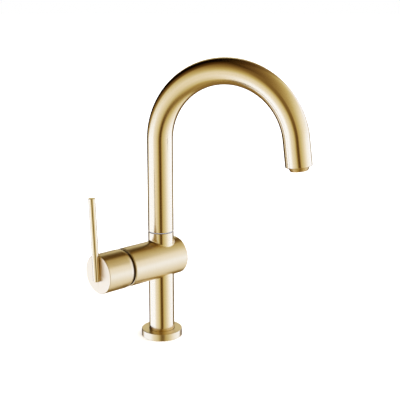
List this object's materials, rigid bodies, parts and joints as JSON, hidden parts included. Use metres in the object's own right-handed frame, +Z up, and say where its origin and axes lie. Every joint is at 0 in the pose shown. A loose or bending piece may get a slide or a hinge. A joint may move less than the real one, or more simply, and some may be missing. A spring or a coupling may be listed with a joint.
{
  "type": "basin mixer faucet",
  "caption": "Deck-mounted single-lever basin mixer with a swivelling gooseneck spout, a round flange and a horizontal side-handle body in brushed gold.",
  "frame": {"origin": "centre of the base's underside, where it meets the deck", "axes": "+Z up along the column and spout riser; the crossbody lies along X with its handle at -X; -Y is the front"},
  "size_m": [0.176, 0.1759, 0.3121],
  "materials": {
    "brushed_gold": "brushed, satin",
    "raw_brass": "machined",
    "copper": "drawn copper tube",
    "steel": "machined stainless steel",
    "rubber": "moulded",
    "ceramic_disc": "lapped",
    "pale_plastic": "moulded, pale grey",
    "dark_plastic": "moulded, black"
  },
  "bodies": {
    "body": {"base_flange": "brushed_gold", "base_gasket": "rubber", "foot_insert": "raw_brass", "inlet_pipe_hot": "copper", "inlet_pipe_cold": "copper", "column_tube": "brushed_gold", "column_plug": "raw_brass", "crossbody_housing": "brushed_gold", "spout_collar": "brushed_gold", "spout_nipple": "raw_brass", "spout_oring_lower": "rubber", "spout_oring_upper": "rubber", "spout_retaining_ring": "steel", "slip_ring": "pale_plastic", "cartridge_base": "dark_plastic", "seat_seal_hot": "rubber", "seat_seal_cold": "rubber", "seat_seal_mixed": "rubber", "fixed_ceramic_disc": "ceramic_disc", "cartridge_housing": "pale_plastic", "cartridge_nut": "raw_brass", "temperature_limit_ring": "dark_plastic"},
    "spout": {"spout_tube": "brushed_gold", "aerator_housing": "brushed_gold", "aerator_insert": "pale_plastic", "aerator_screen": "steel", "aerator_seal": "rubber", "outlet_seat_ring": "raw_brass", "flow_restrictor": "dark_plastic"},
    "turret": {"cartridge_turret": "pale_plastic", "pivot_pin": "steel"},
    "disc": {"moving_ceramic_disc": "ceramic_disc", "disc_carrier": "dark_plastic"},
    "handle": {"cartridge_stem": "steel", "handle_cap": "brushed_gold", "lever_pin": "brushed_gold", "lever_screw": "steel", "cap_set_screw": "steel", "set_screw_plug": "brushed_gold"}
  },
  "joints": [
    {"name": "spout_swivel", "type": "hinge", "parent": "body", "child": "spout", "pos_m": [0, 0, 0.122], "axis": [0, 0, 1], "range_deg": [-100.25, 49.75]},
    {"name": "temperature_turn", "type": "hinge", "parent": "body", "child": "turret", "pos_m": [0, 0, 0.09], "axis": [1, 0, 0], "range_deg": [-50, 50]},
    {"name": "flow_tilt", "type": "hinge", "parent": "turret", "child": "handle", "pos_m": [-0.06, 0, 0.09], "axis": [0, -1, 0], "range_deg": [0, 18]},
    {"name": "disc_slide", "type": "slide", "parent": "turret", "child": "disc", "axis": [0, 0, 1], "range_m": [0, 0.0041]}
  ],
  "couplings": [
    {"joint": "disc_slide", "follows": "flow_tilt", "m_per_rad": 0.013}
  ]
}
